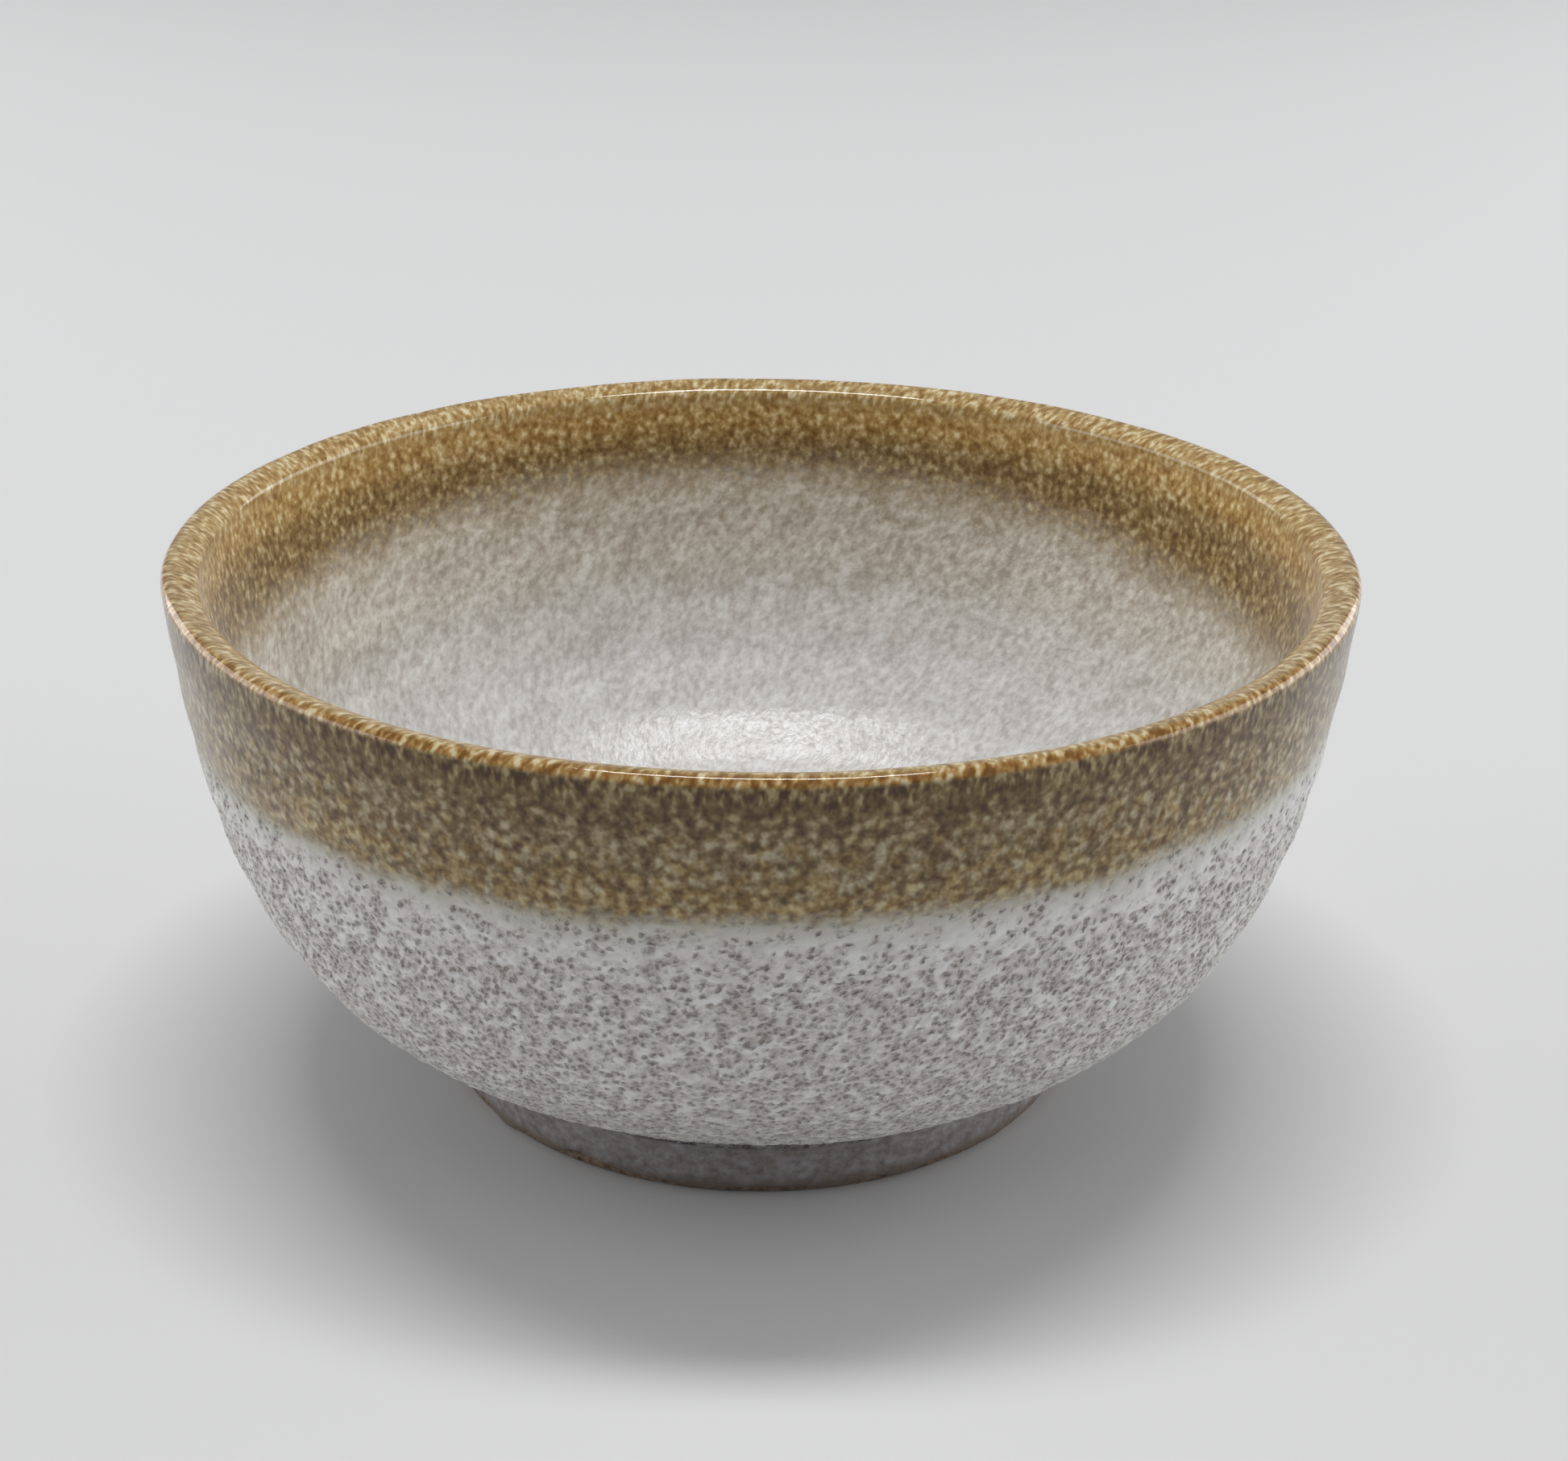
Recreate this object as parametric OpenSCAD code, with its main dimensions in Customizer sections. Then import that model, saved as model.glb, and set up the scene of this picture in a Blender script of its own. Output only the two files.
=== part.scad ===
// Stoneware tea bowl with a turned foot ring, fired in a pitted white glaze
// and dipped at the rim in a brown one. Millimetres, +Z up. The origin is the
// centre of the circle that the foot stands on.

/* [Bowl] */
// Diameter over the rim
bowl_d = 130; // [115:1:145]
// Height from the table to the top of the lip
bowl_h = 62; // [56:0.1:68]
// Thickness of the wall at the lip, glazed
lip_w = 3.9; // [3.6:0.1:5]
// Thickness of the wall at the foot, glazed
base_w = 6.5; // [5.5:0.1:8]
// Rounding of the lip's outer edge
lip_out_r = 1.1; // [0.8:0.05:1.3]
// Rounding of the lip's inner edge
lip_in_r = 0.7; // [0.65:0.05:0.9]
// Facing of the lip's top at its outer side, in degrees from level outward
lip_from = 100; // [92:1:108]
// Facing of the lip's top at its inner side, in degrees from level outward
lip_to = 128; // [118:1:135]
// Lean of the wall from upright just below the lip, in degrees
lip_lean = 4.9; // [0:0.1:10]
// Rise of the belly from level where it leaves the foot, in degrees
belly_rise = 22.5; // [15:0.5:30]
// Fullness of the belly low down: how far the curve runs on at belly_rise
low_pull = 21.2; // [16:0.1:24]
// Fullness of the wall high up: how far the curve runs down at lip_lean
high_pull = 31.4; // [26:0.1:36]
// Height of the inside floor at its centre
floor_h = 11; // [10:0.1:13]

/* [Foot ring] */
// Diameter of the foot ring
foot_d = 74.2; // [68:0.1:80]
// Height of the foot ring outside, up to the belly
foot_h = 7.6; // [6.8:0.1:8.4]
// Width of the ring that stands on the table
foot_w = 5; // [4:0.1:6]
// Height of the hollow under the bowl
recess_h = 5; // [4.6:0.1:5.4]
// Rounding of the ring's lower edges
foot_round = 0.8; // [0.4:0.1:0.8]

/* [Glaze] */
// Thickness of the whole glaze coat on the wall
coat_t = 0.5; // [0.35:0.05:0.55]
// Thickness of the brown coat, which lies over a thinner white one
brown_t = 0.25; // [0.15:0.05:0.3]
// Thickness of the wiped coat on the foot ring and in the hollow
foot_coat_t = 0.3; // [0.2:0.05:0.4]
// Depth of the brown band outside, below the top of the lip
band_out = 14; // [8:0.5:20]
// Depth of the brown band inside, below the top of the lip
band_in = 12; // [8:0.5:20]
// Bare clay left at the bottom edge of the foot ring
bare_edge = 0.9; // [0.9:0.1:2.5]

/* [Hidden] */

$fn = 128;
wall_steps = 44;  // segments along each side of the wall
lip_steps = 6;    // segments along each of the lip's three arcs
floor_steps = 14; // segments from the wall to the middle of the floor
round_steps = 5;  // segments round a small edge
lip_gap = 0.4;    // drop from the end of the lip to the first point of the wall inside

foot_r = foot_d / 2;
foot_clay_r = foot_r - foot_coat_t;
recess_r = foot_r - foot_w;
recess_clay_h = recess_h + foot_coat_t;

clay_grey = [0.66, 0.55, 0.47];
white_grey = [0.82, 0.81, 0.80];
inside_grey = [0.76, 0.73, 0.70];
brown = [0.48, 0.36, 0.20];

// ---- curves: each point is [radius, height] ----

function polar(angle) = [cos(angle), sin(angle)];
function cubic(a, b, c, d, t) =
    pow(1 - t, 3) * a + 3 * t * pow(1 - t, 2) * b + 3 * t * t * (1 - t) * c + pow(t, 3) * d;
function arc(centre, r, from, to, steps) =
    [for (i = [0:steps]) centre + r * polar(from + (to - from) * i / steps)];
function arc_on(centre, r, from, to, steps) =
    [for (i = [1:steps]) centre + r * polar(from + (to - from) * i / steps)];

// The lip is three arcs that run into each other: its outer edge, its top, which
// slopes inward, and its inner edge. The top's radius makes the lip lip_w wide.
lip_edges_w = lip_out_r * (cos(lip_lean) - cos(lip_from)) + lip_in_r * (cos(lip_to) + cos(lip_lean));
lip_top_r = (lip_w - lip_edges_w) / (cos(lip_from) - cos(lip_to));
lip_out_at = [bowl_d / 2 - lip_out_r, bowl_h - lip_out_r];
lip_top_at = lip_out_at + (lip_out_r - lip_top_r) * polar(lip_from);
lip_in_at = lip_top_at + (lip_top_r - lip_in_r) * polar(lip_to);
lip_end = lip_in_at + lip_in_r * polar(180 - lip_lean);

// The wall outside runs from the foot to the lip.
wall_low = [foot_r, foot_h];
wall_high = lip_out_at + lip_out_r * polar(-lip_lean);
function outside(t) = cubic(wall_low, wall_low + low_pull * polar(belly_rise),
                            wall_high - high_pull * polar(90 - lip_lean), wall_high, t);

// The wall inside is the outside set in by a thickness that falls towards the lip.
function across(a, b) = [b[1] - a[1], a[0] - b[0]] / norm(b - a);
function outward(t) = across(outside(t - 0.001), outside(t + 0.001));
lip_wall_w = (wall_high - lip_end) * polar(-lip_lean);
function wall_w(t) = base_w + (lip_wall_w - base_w) * pow(t, 0.6);
function inside(t) = outside(t) - wall_w(t) * outward(t);

// The floor carries on from the wall to a level middle.
edge_pull = 12;   // how far the floor runs on as the wall ends
middle_pull = 14; // how far it runs level round its middle
floor_rim = inside(0);
floor_run = floor_rim - inside(0.02);
floor_edge = floor_rim + edge_pull * floor_run / norm(floor_run);
floor_middle = [0, floor_h];
function floor_at(t) = cubic(floor_rim, floor_edge, floor_middle + [middle_pull, 0], floor_middle, t);

// The finished surface, from the foot up over the lip and down to the middle of the floor.
surface = concat(
    [for (i = [0:wall_steps - 1]) outside(i / wall_steps)],
    arc(lip_out_at, lip_out_r, -lip_lean, lip_from, lip_steps),
    arc_on(lip_top_at, lip_top_r, lip_from, lip_to, lip_steps),
    arc_on(lip_in_at, lip_in_r, lip_to, 180 - lip_lean, lip_steps),
    [for (i = [1:wall_steps]) let (p = inside(1 - i / wall_steps)) if (p[1] < lip_end[1] - lip_gap) p],
    [for (i = [1:floor_steps]) floor_at(i / floor_steps)]);
last = len(surface) - 1;
lip_top = wall_steps + lip_steps;

// The finished surface's outward direction at point i, and the point that lies deep below it.
function facing(i) = i == last ? [0, 1] : across(surface[max(i - 1, 0)], surface[i + 1]);
function below(i, deep) = surface[i] - deep * facing(i);

// The clay's corner where the coats of the wall and the foot meet, and the clay under the wall's coat.
clay_corner = [foot_clay_r,
               foot_h + coat_t / cos(belly_rise) - foot_coat_t * tan(belly_rise)];
function clay(i) = i == 0 ? clay_corner : below(i, coat_t);

// The last points of the brown band, outside and inside.
band_low = min([for (i = [0:lip_top]) if (surface[i][1] > bowl_h - band_out) i]);
band_end = max([for (i = [lip_top:last]) if (surface[i][1] > bowl_h - band_in) i]);

module turned(outline) rotate_extrude() polygon(outline);

// ---- pieces ----

// Thrown clay wall, lip and floor, under all of the glaze.
module stoneware_body()
    color(clay_grey)
    turned(concat([[0, recess_clay_h], [recess_r, recess_clay_h]],
                  [for (i = [0:last]) clay(i)]));

// Turned ring that the bowl stands on, luted to the underside of the body.
module foot_ring()
    color(clay_grey)
    turned(concat(
        arc([recess_r + foot_round, foot_round], foot_round, 180, 270, round_steps),
        arc([foot_clay_r - foot_round, foot_round], foot_round, 270, 360, round_steps),
        [clay_corner, [recess_r, recess_clay_h]]));

// White coat outside, from the foot to the top of the lip, thinner under the brown.
module outer_white_glaze()
    color(white_grey)
    turned(concat(
        [for (i = [0:band_low]) surface[i]],
        [for (i = [band_low:lip_top]) below(i, brown_t)],
        [for (i = [lip_top:-1:0]) clay(i)]));

// White coat inside, from the top of the lip to the middle of the floor.
module inner_white_glaze()
    color(inside_grey)
    turned(concat(
        [for (i = [lip_top:band_end]) below(i, brown_t)],
        [for (i = [band_end:last]) surface[i]],
        [for (i = [last:-1:lip_top]) clay(i)]));

// Brown coat, dipped over the lip on top of both white ones.
module rim_brown_glaze()
    color(brown)
    turned(concat(
        [for (i = [band_low:band_end]) surface[i]],
        [for (i = [band_end:-1:band_low]) below(i, brown_t)]));

// Thin wiped coat on the outside of the foot ring, above its bare edge.
module foot_glaze()
    color(white_grey)
    turned([[foot_clay_r, bare_edge], [foot_r, bare_edge + foot_coat_t],
            [foot_r, foot_h], clay_corner]);

// Thin coat in the hollow under the bowl, pooled in the corner with the ring.
module recess_glaze() {
    pool_r = 1.2;
    skin_r = recess_r - foot_coat_t;
    color(white_grey)
    turned(concat(
        [[0, recess_h]],
        arc([skin_r - pool_r, recess_h - pool_r], pool_r, 90, 0, round_steps),
        [[skin_r, bare_edge + foot_coat_t], [recess_r, bare_edge],
         [recess_r, recess_clay_h], [0, recess_clay_h]]));
}

stoneware_body();
foot_ring();
outer_white_glaze();
inner_white_glaze();
rim_brown_glaze();
foot_glaze();
recess_glaze();
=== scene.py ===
from math import cos, pi, radians, sin, tan

import bpy
import numpy as np
from mathutils import Matrix, Vector


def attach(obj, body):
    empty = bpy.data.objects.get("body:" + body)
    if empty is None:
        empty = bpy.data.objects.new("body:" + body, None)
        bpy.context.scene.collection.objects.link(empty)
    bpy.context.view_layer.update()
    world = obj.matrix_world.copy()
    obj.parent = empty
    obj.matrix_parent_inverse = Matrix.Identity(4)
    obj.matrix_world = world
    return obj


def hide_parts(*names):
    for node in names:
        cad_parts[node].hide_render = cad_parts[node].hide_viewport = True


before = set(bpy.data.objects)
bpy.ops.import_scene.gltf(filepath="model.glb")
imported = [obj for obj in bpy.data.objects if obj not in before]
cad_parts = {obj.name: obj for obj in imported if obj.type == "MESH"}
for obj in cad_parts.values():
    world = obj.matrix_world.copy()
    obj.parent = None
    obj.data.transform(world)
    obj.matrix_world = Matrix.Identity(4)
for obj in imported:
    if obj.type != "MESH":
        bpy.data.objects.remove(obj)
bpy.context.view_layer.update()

MM = 0.001

# ---------------------------------------------------------------------------
# Sizes in millimetres, the same as the CAD model's
# ---------------------------------------------------------------------------
BOWL_D, BOWL_H = 130.0, 62.0
LIP_W, BASE_W = 3.9, 6.5
LIP_OUT_R, LIP_IN_R = 1.1, 0.7
LIP_FROM, LIP_TO = 100.0, 128.0
LEAN, RISE = 4.9, 22.5
LOW_PULL, HIGH_PULL = 21.2, 31.4
FLOOR_H, EDGE_PULL, MIDDLE_PULL = 11.0, 12.0, 14.0
FOOT_D, FOOT_H, FOOT_W = 74.2, 7.6, 5.0
RECESS_H, FOOT_ROUND = 5.0, 0.8
COAT_T, BROWN_T, FOOT_COAT_T = 0.5, 0.25, 0.3
BAND_OUT, BAND_IN, BARE_EDGE = 14.0, 12.0, 0.9

# Looks that the CAD model leaves out
CREASE_R = 2.5        # glaze pooled where the belly meets the foot
COLUMNS = 1080        # mesh columns round the bowl, the same on every piece, so that neighbours meet
FINE = 0.36           # row spacing on pitted and speckled glaze
SMOOTH = 0.75         # row spacing on smooth glaze and clay
COARSE = 5.0          # row spacing on hidden backs
CLAY_ROW, STANDING_ROW = 0.5, 0.35   # row spacing on the foot ring's sides and standing face
LIP_IN_ROW, LIP_OUT_ROW = 0.2, 0.15  # row spacing over the lip, inside and outside
LIP_IN_S, LIP_OUT_S = 2.3, 3.0       # how far down those rows reach
BACK_IN_S = 0.5       # where the brown coat's hidden side starts inside
CORNER_SKIP = 3.0     # where the outer coat's hidden side starts above the foot's corner
ON_AXIS = 0.01        # rows narrower than this radius become one point
POOL_R = 1.2          # glaze pooled in the corner of the hollow under the bowl
EDGE_SEED = 11        # seed of the wavy lower edges of the foot's coats
EDGE_WAVES = (2, 40)  # fewest and most waves round those edges

# How finely the profiles are drawn
ARC_STEPS = 24        # steps along each arc
WALL_POINTS = 200     # points along each side of the wall
FLOOR_POINTS = 80     # points along the floor
LIP_GAP = 0.4         # drop from the end of the lip to the first point of the wall inside
THINNING = 0.6        # power by which the wall thins towards the lip
STEP = 0.001          # step of the wall's parameter that shows its direction
FLOOR_LEAD = 0.02     # the same where the floor carries on from the wall
REACH = 0.15          # half the length over which a profile's direction is taken


# ---------------------------------------------------------------------------
# Profile curves: arrays of (radius, height) in millimetres
# ---------------------------------------------------------------------------
def polar(angle):
    return np.array([cos(radians(angle)), sin(radians(angle))])


def arc(centre, r, start, end):
    return np.array([centre + r * polar(start + (end - start) * i / ARC_STEPS)
                     for i in range(ARC_STEPS + 1)])


def cubic(a, b, c, d, t):
    return (1 - t) ** 3 * a + 3 * t * (1 - t) ** 2 * b + 3 * t * t * (1 - t) * c + t ** 3 * d


def across(run):
    """The unit vector to the right of a step along a profile."""
    return np.array([run[1], -run[0]]) / np.hypot(*run)


def lip_arcs():
    """Centres and radii of the lip's outer edge, top and inner edge."""
    edges_w = LIP_OUT_R * (cos(radians(LEAN)) - cos(radians(LIP_FROM)))
    edges_w += LIP_IN_R * (cos(radians(LIP_TO)) + cos(radians(LEAN)))
    top_r = (LIP_W - edges_w) / (cos(radians(LIP_FROM)) - cos(radians(LIP_TO)))
    out_at = np.array([BOWL_D / 2 - LIP_OUT_R, BOWL_H - LIP_OUT_R])
    top_at = out_at + (LIP_OUT_R - top_r) * polar(LIP_FROM)
    in_at = top_at + (top_r - LIP_IN_R) * polar(LIP_TO)
    return (out_at, LIP_OUT_R), (top_at, top_r), (in_at, LIP_IN_R)


LIP_OUT, LIP_TOP, LIP_IN = lip_arcs()
LIP_END = LIP_IN[0] + LIP_IN[1] * polar(180 - LEAN)
WALL_LOW = np.array([FOOT_D / 2, FOOT_H])
WALL_HIGH = LIP_OUT[0] + LIP_OUT[1] * polar(-LEAN)
LIP_WALL_W = (WALL_HIGH - LIP_END) @ polar(-LEAN)


def outside(t):
    return cubic(WALL_LOW, WALL_LOW + LOW_PULL * polar(RISE),
                 WALL_HIGH - HIGH_PULL * polar(90 - LEAN), WALL_HIGH, t)


def inside(t):
    width = BASE_W + (LIP_WALL_W - BASE_W) * max(t, 0) ** THINNING
    return outside(t) - width * across(outside(t + STEP) - outside(t - STEP))


def outer_path():
    """The finished surface from the top of the lip, down the outside to the foot, with its pooled crease."""
    reach = CREASE_R / tan(radians(45 + RISE / 2))
    crease_at = WALL_LOW + np.array([CREASE_R, -reach])
    wall = [outside(t) for t in np.linspace(1, reach / (3 * LOW_PULL), WALL_POINTS)]
    crease = arc(crease_at, CREASE_R, 90 + RISE, 180)
    return np.vstack([arc(*LIP_OUT, 90, -LEAN)[:-1], wall, crease[1:]])


def inner_path():
    """The finished surface from the top of the lip, down the inside to the middle of the floor."""
    edge = inside(0)
    run = edge - inside(FLOOR_LEAD)
    pulled = edge + EDGE_PULL * run / np.hypot(*run)
    middle = np.array([0, FLOOR_H])
    lip = [arc(*LIP_OUT, 90, LIP_FROM)[:-1],
           arc(*LIP_TOP, LIP_FROM, LIP_TO)[:-1],
           arc(*LIP_IN, LIP_TO, 180 - LEAN)]
    wall = [p for p in (inside(t) for t in np.linspace(1, 0, WALL_POINTS)) if p[1] < LIP_END[1] - LIP_GAP]
    floor = [cubic(edge, pulled, middle + [MIDDLE_PULL, 0], middle, t)
             for t in np.linspace(0, 1, FLOOR_POINTS)[1:]]
    return np.vstack(lip + [wall, floor])


class Path:
    """A finished profile, measured along its length, with the directions that point out of the glaze."""

    def __init__(self, points, out_on_left):
        steps = np.hypot(*np.diff(points, axis=0).T)
        self.points = points
        self.along = np.concatenate([[0], np.cumsum(steps)])
        self.length = self.along[-1]
        self.sign = 1 if out_on_left else -1

    def at(self, s):
        return np.array([np.interp(s, self.along, self.points[:, k]) for k in (0, 1)]).T

    def facing(self, s):
        run = self.at(np.minimum(s + REACH, self.length)) - self.at(np.maximum(s - REACH, 0))
        out = self.sign * np.column_stack([-run[:, 1], run[:, 0]])
        return out / np.hypot(out[:, 0], out[:, 1])[:, None]

    def below(self, s, deep):
        return self.at(s) - deep * self.facing(s)

    def length_at_height(self, z):
        """How far along the path first falls to a height."""
        return float(self.along[np.argmax(self.points[:, 1] <= z)])


OUTER = Path(outer_path(), out_on_left=True)
INNER = Path(inner_path(), out_on_left=False)
BAND_OUT_S = OUTER.length_at_height(BOWL_H - BAND_OUT)
BAND_IN_S = INNER.length_at_height(BOWL_H - BAND_IN)
CLAY_CORNER = np.array([FOOT_D / 2 - FOOT_COAT_T,
                        FOOT_H + COAT_T / cos(radians(RISE)) - FOOT_COAT_T * tan(radians(RISE))])


# ---------------------------------------------------------------------------
# Turned meshes
# ---------------------------------------------------------------------------
def spaced(start, end, spacing):
    return np.linspace(start, end, max(2, int(abs(end - start) / spacing) + 1))


class Rows:
    """Rows of a turned shell, in order round its outline: place, push direction and place along the wall."""

    def __init__(self):
        self.place, self.push, self.arc, self.ripple, self.sharp = [], [], [], [], []
        self.count = 0

    def add(self, points, push=None, along=0.0, ripple=0.0, sharp=()):
        """push is how each point moves when its surface rises; ripple is its share of the coat's wavy edge.
        sharp names the rows of these, such as 0 or -1, where the shading breaks."""
        points = np.atleast_2d(points)
        n = len(points)
        self.sharp += [self.count + k % n for k in sharp]
        self.count += n
        self.place.append(points)
        self.push.append(np.zeros((n, 2)) if push is None else np.atleast_2d(push))
        self.arc.append(np.broadcast_to(along, n))
        self.ripple.append(np.broadcast_to(ripple, n))
        return self

    def arrays(self):
        return (np.vstack(self.place), np.vstack(self.push),
                np.concatenate(self.arc), np.concatenate(self.ripple))


def wave(angles):
    """A smooth closed wave round the bowl, about 1 high, made of seeded harmonics."""
    rng = np.random.default_rng(EDGE_SEED)
    orders = np.arange(EDGE_WAVES[0], EDGE_WAVES[1] + 1)
    strength = rng.normal(size=len(orders)) / np.sqrt(len(orders))
    phase = rng.uniform(0, 2 * pi, len(orders))
    return np.sum(strength[:, None] * np.cos(np.outer(orders, angles) + phase[:, None]), axis=0)


def turned(name, rows, field, edge_wave=0.0):
    """Revolves the rows into one closed shell, then raises it by the field. Rows on the axis become one
    shared point."""
    place, push, along, ripple = rows.arrays()
    angles = np.linspace(0, 2 * pi, COLUMNS, endpoint=False)
    edge = edge_wave * wave(angles)
    verts, pushes, arcs, first = [], [], [], []
    count = 0
    ring = np.column_stack([np.cos(angles), np.sin(angles)])
    for (r, z), (pr, pz), s, share in zip(place, push, along, ripple):
        first.append((count, r > ON_AXIS))
        n = COLUMNS if r > ON_AXIS else 1
        turn = ring if n > 1 else np.zeros((1, 2))
        heights = z + share * (edge if n > 1 else 0)
        verts.append(np.column_stack([r * turn, np.broadcast_to(heights, n)]))
        pushes.append(np.column_stack([pr * turn, np.full(n, pz)]))
        arcs.append(np.full(n, s))
        count += n
    verts, pushes, arcs = np.vstack(verts) * MM, np.vstack(pushes), np.concatenate(arcs)
    j = np.arange(COLUMNS)
    k = (j + 1) % COLUMNS
    faces = []
    for (a, a_ring), (b, b_ring) in zip(first, first[1:] + first[:1]):
        if a_ring and b_ring:
            faces.extend(np.column_stack([a + j, a + k, b + k, b + j]).tolist())
        elif a_ring:
            faces.extend(np.column_stack([a + j, a + k, np.full(COLUMNS, b)]).tolist())
        elif b_ring:
            faces.extend(np.column_stack([np.full(COLUMNS, a), b + k, b + j]).tolist())
    mesh = bpy.data.meshes.new(name)
    mesh.from_pydata(verts.tolist(), [], faces)
    if signed_volume(mesh) < 0:
        mesh.flip_normals()
    row_of = np.concatenate([np.full(COLUMNS if wide else 1, i) for i, (_, wide) in enumerate(first)])
    ends = np.zeros(len(mesh.edges) * 2, int)
    mesh.edges.foreach_get("vertices", ends)
    ends = row_of[ends.reshape(-1, 2)]
    creased = (ends[:, 0] == ends[:, 1]) & np.isin(ends[:, 0], rows.sharp)
    mesh.attributes.new("sharp_edge", "BOOLEAN", "EDGE").data.foreach_set("value", creased)
    mesh.attributes.new("rest", "FLOAT_VECTOR", "POINT").data.foreach_set("vector", (verts / MM).ravel())
    mesh.attributes.new("push", "FLOAT_VECTOR", "POINT").data.foreach_set("vector", pushes.ravel())
    mesh.attributes.new("arc", "FLOAT", "POINT").data.foreach_set("value", arcs)
    mesh.shade_smooth()
    piece = bpy.data.objects.new(name, mesh)
    bpy.context.scene.collection.objects.link(piece)
    displace(piece, field)
    return piece


def signed_volume(mesh):
    """Six times the volume inside a closed mesh, negative if its faces look inward."""
    co = np.array([v.co for v in mesh.vertices])
    mesh.calc_loop_triangles()
    tri = np.zeros(len(mesh.loop_triangles) * 3, int)
    mesh.loop_triangles.foreach_get("vertices", tri)
    a, b, c = (co[tri[i::3]] for i in range(3))
    return float(np.einsum("ij,ij->", a, np.cross(b, c)))


# ---------------------------------------------------------------------------
# Node building: one set of formulas serves the shaders and the displacement
# ---------------------------------------------------------------------------
class Graph:
    """Adds nodes to a shader tree or a geometry tree. Values may be numbers, tuples or sockets."""

    def __init__(self, tree):
        self.tree = tree
        self.shader = tree.bl_idname == "ShaderNodeTree"

    def node(self, kind, **settings):
        made = self.tree.nodes.new(kind)
        for key, value in settings.items():
            setattr(made, key, value)
        return made

    def put(self, value, socket):
        if isinstance(value, bpy.types.NodeSocket):
            self.tree.links.new(value, socket)
        else:
            socket.default_value = value

    def attribute(self, name, vector=False):
        """A value stored on the mesh's points."""
        if self.shader:
            made = self.node("ShaderNodeAttribute", attribute_name=name)
            return made.outputs["Vector" if vector else "Fac"]
        made = self.node("GeometryNodeInputNamedAttribute", data_type="FLOAT_VECTOR" if vector else "FLOAT")
        made.inputs["Name"].default_value = name
        return made.outputs["Attribute"]

    def math(self, operation, a, b=0.0, c=0.0):
        made = self.node("ShaderNodeMath", operation=operation)
        for value, socket in zip((a, b, c), made.inputs):
            self.put(value, socket)
        return made.outputs[0]

    def add(self, *values):
        total = values[0]
        for value in values[1:]:
            total = self.math("ADD", total, value)
        return total

    def times(self, *values):
        total = values[0]
        for value in values[1:]:
            total = self.math("MULTIPLY", total, value)
        return total

    def invert(self, value):
        """1 minus the value."""
        return self.math("SUBTRACT", 1, value)

    def radius(self, x, y):
        return self.math("SQRT", self.add(self.times(x, x), self.times(y, y)))

    def stretch(self, vector, by):
        made = self.node("ShaderNodeVectorMath", operation="MULTIPLY")
        self.put(vector, made.inputs[0])
        self.put(by, made.inputs[1])
        return made.outputs[0]

    def shift(self, vector, by):
        made = self.node("ShaderNodeVectorMath", operation="ADD")
        self.put(vector, made.inputs[0])
        self.put(by, made.inputs[1])
        return made.outputs[0]

    def twist(self, vector, angle):
        """Turns a place round the bowl's axis."""
        made = self.node("ShaderNodeVectorRotate", rotation_type="Z_AXIS")
        self.put(vector, made.inputs["Vector"])
        self.put(angle, made.inputs["Angle"])
        return made.outputs[0]

    def parts(self, vector):
        made = self.node("ShaderNodeSeparateXYZ")
        self.put(vector, made.inputs[0])
        return made.outputs

    def join(self, x, y, z):
        made = self.node("ShaderNodeCombineXYZ")
        for value, socket in zip((x, y, z), made.inputs):
            self.put(value, socket)
        return made.outputs[0]

    def noise(self, vector, size, detail=2.0, roughness=0.5, output="Fac"):
        """Noise from 0 to 1 whose blobs are about size millimetres wide. Its Color is three noises."""
        made = self.node("ShaderNodeTexNoise", noise_dimensions="3D")
        self.put(vector, made.inputs["Vector"])
        made.inputs["Scale"].default_value = 1 / size
        made.inputs["Detail"].default_value = detail
        made.inputs["Roughness"].default_value = roughness
        return made.outputs[output]

    def swing(self, vector, size, detail=2.0, roughness=0.5):
        """Noise from -0.5 to 0.5."""
        return self.add(self.noise(vector, size, detail, roughness), -0.5)

    def cells(self, vector, size):
        """Distance to the nearest of scattered points, in units of size millimetres, and its random value."""
        made = self.node("ShaderNodeTexVoronoi", voronoi_dimensions="3D", feature="F1")
        self.put(vector, made.inputs["Vector"])
        made.inputs["Scale"].default_value = 1 / size
        return made.outputs["Distance"], self.parts(made.outputs["Color"])[0]

    def smooth(self, value, low, high, to_low=0.0, to_high=1.0):
        """Goes smoothly from to_low to to_high as value goes from low to high."""
        made = self.node("ShaderNodeMapRange", interpolation_type="SMOOTHSTEP")
        for item, socket in zip((value, low, high, to_low, to_high), made.inputs):
            self.put(item, socket)
        return made.outputs[0]

    def blend(self, amount, a, b):
        """Colour a where amount is 0 and b where it is 1."""
        made = self.node("ShaderNodeMix", data_type="RGBA")
        made.clamp_factor = True
        self.put(amount, made.inputs["Factor"])
        colours = [s for s in made.inputs if s.type == "RGBA"]
        self.put(a, colours[0])
        self.put(b, colours[1])
        return [s for s in made.outputs if s.type == "RGBA"][0]

    def ramp(self, value, stops):
        """A colour for each value: stops are (value, colour) from low to high."""
        low, high = stops[0][0], stops[-1][0]
        made = self.node("ShaderNodeValToRGB")
        steps = made.color_ramp
        while len(steps.elements) < len(stops):
            steps.elements.new(0.5)
        for element, (at, colour) in zip(steps.elements, stops):
            element.position = (at - low) / (high - low)
        for element, (at, colour) in zip(steps.elements, stops):
            element.color = colour
        share = self.node("ShaderNodeMapRange")
        for item, socket in zip((value, low, high), share.inputs):
            self.put(item, socket)
        self.put(share.outputs[0], made.inputs[0])
        return made.outputs[0]


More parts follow.
